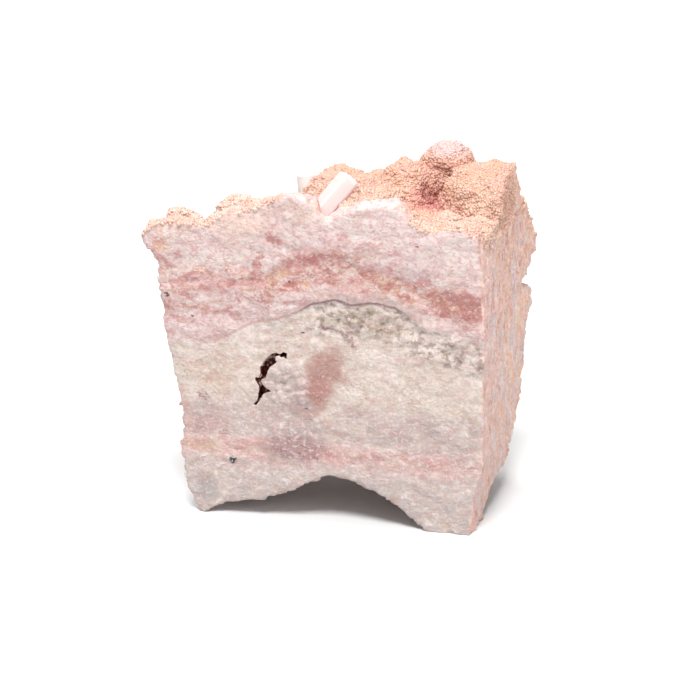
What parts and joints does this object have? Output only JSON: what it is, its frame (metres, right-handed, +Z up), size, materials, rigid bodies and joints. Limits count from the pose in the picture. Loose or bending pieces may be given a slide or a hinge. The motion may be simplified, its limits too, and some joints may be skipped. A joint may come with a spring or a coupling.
{
  "type": "rhodochrosite specimen",
  "caption": "Wedge-shaped block of pink and cream banded rhodochrosite with a drusy crystal crust on top and small quartz prisms, standing on its arched underside.",
  "frame": {"origin": "middle of the box of the whole specimen, at the plane it stands on", "axes": "+Z up; the broken, banded front face looks along -Y, and the streaked side face along +X"},
  "size_m": [0.037, 0.0202, 0.037],
  "materials": {
    "banded_rock": "broken rock banded in pink, lilac and cream, matt",
    "druse": "peach-pink crust of tiny sparkling crystals",
    "milky_quartz": "milky, slightly pink, satin crystal faces",
    "clear_quartz": "almost clear crystal"
  },
  "bodies": {
    "root": {"matrix": "banded_rock", "druse_crust": "druse", "quartz_crystal_front": "milky_quartz", "quartz_crystal_rear": "clear_quartz"}
  },
  "joints": []
}
